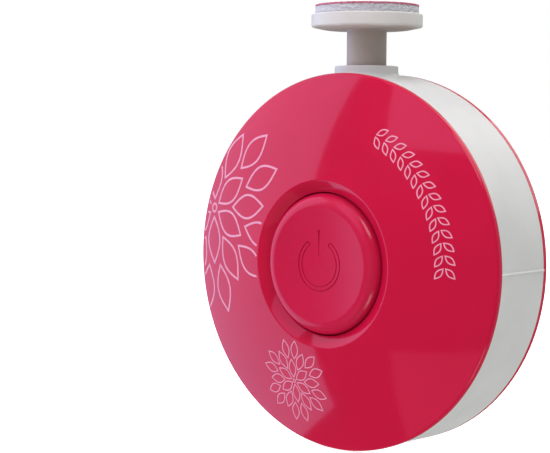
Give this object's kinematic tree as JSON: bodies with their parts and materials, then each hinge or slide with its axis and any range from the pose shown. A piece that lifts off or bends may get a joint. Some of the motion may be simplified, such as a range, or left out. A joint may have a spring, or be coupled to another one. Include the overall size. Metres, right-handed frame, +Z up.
{
  "type": "electric callus remover",
  "caption": "Round battery case that stands on its rim, with a large power button in its domed front and a motor-driven sanding head on a spindle at the top.",
  "frame": {"origin": "lowest point of the case's rim, midway between the front and rear faces", "axes": "+Z up along the spindle, the power button faces -Y, +X to the right of someone facing the button"},
  "size_m": [0.066, 0.0262, 0.0781],
  "materials": {
    "cover_red": "glossy moulded plastic",
    "button_red": "satin moulded plastic",
    "band_white": "satin white moulded plastic",
    "head_white": "satin white moulded plastic",
    "foam": "fine closed-cell foam",
    "abrasive": "fine grit on cloth, rose",
    "frame_plastic": "matte moulded plastic",
    "black_plastic": "matte black plastic",
    "steel": "plated steel",
    "motor_steel": "drawn steel",
    "magnet": "sintered ferrite",
    "bronze": "sintered bronze",
    "copper": "bare copper",
    "board": "lacquered circuit board",
    "blue_part": "coated component",
    "cell_sleeve": "printed cell sleeve, with no print",
    "wire_black": "soft insulation",
    "wire_red": "soft insulation"
  },
  "bodies": {
    "case": {"front_cover": "cover_red", "middle_band": "band_white", "rear_cover": "cover_red", "case_screws": "steel", "inner_frame": "frame_plastic", "frame_screws": "steel", "motor_strap": "steel", "strap_screws": "steel", "motor_can": "motor_steel", "motor_end_cap": "black_plastic", "motor_magnets": "magnet", "motor_bushes": "bronze", "motor_brushes": "copper", "motor_terminals": "bronze", "button_spring": "steel", "switch_body": "black_plastic", "circuit_board": "board", "board_screws": "steel", "control_chip": "black_plastic", "capacitor": "blue_part", "battery_upper": "cell_sleeve", "battery_lower": "cell_sleeve", "contact_link": "steel", "contact_minus": "steel", "contact_plus": "steel", "wire_motor_left": "wire_black", "wire_motor_right": "wire_red", "wire_minus": "wire_black", "wire_plus": "wire_red"},
    "rotor": {"motor_shaft": "steel", "rotor_core": "motor_steel", "rotor_winding": "copper", "commutator": "copper", "drive_spindle": "head_white"},
    "head": {"head_hub": "head_white", "foam_pad": "foam", "abrasive_disc": "abrasive"},
    "button": {"power_button": "button_red", "switch_plunger": "black_plastic"},
    "door": {"battery_door": "cover_red"}
  },
  "joints": [
    {"name": "spindle_spin", "type": "hinge", "parent": "case", "child": "rotor", "pos_m": [0, 0, 0.033], "axis": [0, 0, 1], "continuous": true},
    {"name": "head_pull", "type": "slide", "parent": "rotor", "child": "head", "axis": [0, 0, 1], "range_m": [0, 0.012]},
    {"name": "power_button_press", "type": "slide", "parent": "case", "child": "button", "axis": [0, 1, 0], "range_m": [0, 0.0008], "stiffness_N_per_m": 800, "springref_m": -0.0008, "deforming": ["button_spring"]},
    {"name": "battery_door_lift", "type": "slide", "parent": "case", "child": "door", "axis": [0, 1, 0], "range_m": [0, 0.012]}
  ]
}
